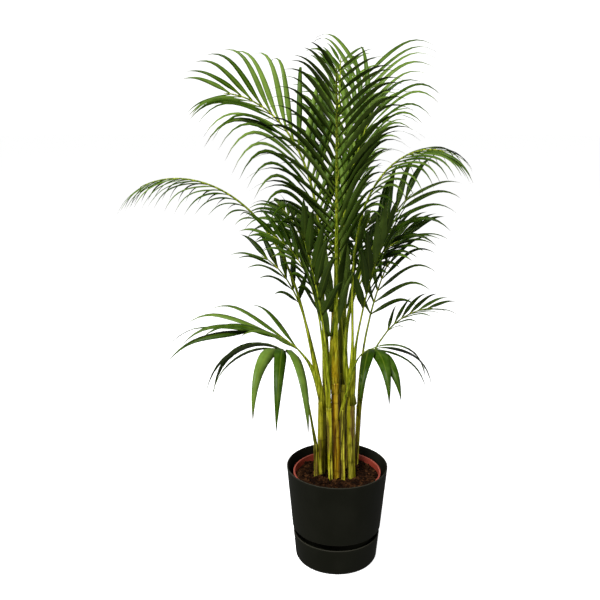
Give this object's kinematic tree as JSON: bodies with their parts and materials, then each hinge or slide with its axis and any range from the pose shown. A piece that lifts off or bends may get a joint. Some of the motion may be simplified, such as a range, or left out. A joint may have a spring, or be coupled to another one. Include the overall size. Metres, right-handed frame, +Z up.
{
  "type": "potted palm",
  "caption": "Tall clump of slender palm canes with arching feather fronds, in a plastic grow pot of soil inside a round tapered planter with a drip saucer.",
  "frame": {"origin": "centre of the flat underside of the saucer", "axes": "+Z up along the pot's axis, +X to the right and +Y to the back when the plant is seen from its fuller front"},
  "size_m": [0.7838, 0.6368, 1.2651],
  "materials": {
    "black_plastic": "satin",
    "terracotta_plastic": "satin",
    "potting_soil": "matte",
    "green_cane": "satin",
    "amber_cane": "satin",
    "palm_leaf": "satin"
  },
  "bodies": {
    "root": {"cane_back": "green_cane", "cane_back_left": "green_cane", "cane_back_right": "green_cane", "cane_centre": "amber_cane", "cane_centre_thin": "green_cane", "cane_left": "green_cane", "cane_left_front": "green_cane", "cane_left_thin": "green_cane", "cane_right": "green_cane", "cane_right_thin": "green_cane", "frond_arch_left": "palm_leaf", "frond_arch_right": "palm_leaf", "frond_back": "palm_leaf", "frond_back_left": "palm_leaf", "frond_back_right": "palm_leaf", "frond_broad_left": "palm_leaf", "frond_broad_right": "palm_leaf", "frond_fan_left": "palm_leaf", "frond_fan_right": "palm_leaf", "frond_front_left": "palm_leaf", "frond_front_right": "palm_leaf", "frond_low_left": "palm_leaf", "frond_low_right": "palm_leaf", "frond_mid_left": "palm_leaf", "frond_mid_right": "palm_leaf", "frond_small_right": "palm_leaf", "frond_tall_back": "palm_leaf", "frond_tall_front": "palm_leaf", "frond_tall_left": "palm_leaf", "frond_tall_right": "palm_leaf", "frond_tall_side": "palm_leaf", "frond_young_left": "palm_leaf", "frond_young_right": "palm_leaf", "nursery_pot": "terracotta_plastic", "planter": "black_plastic", "saucer": "black_plastic", "soil": "potting_soil"}
  },
  "joints": []
}
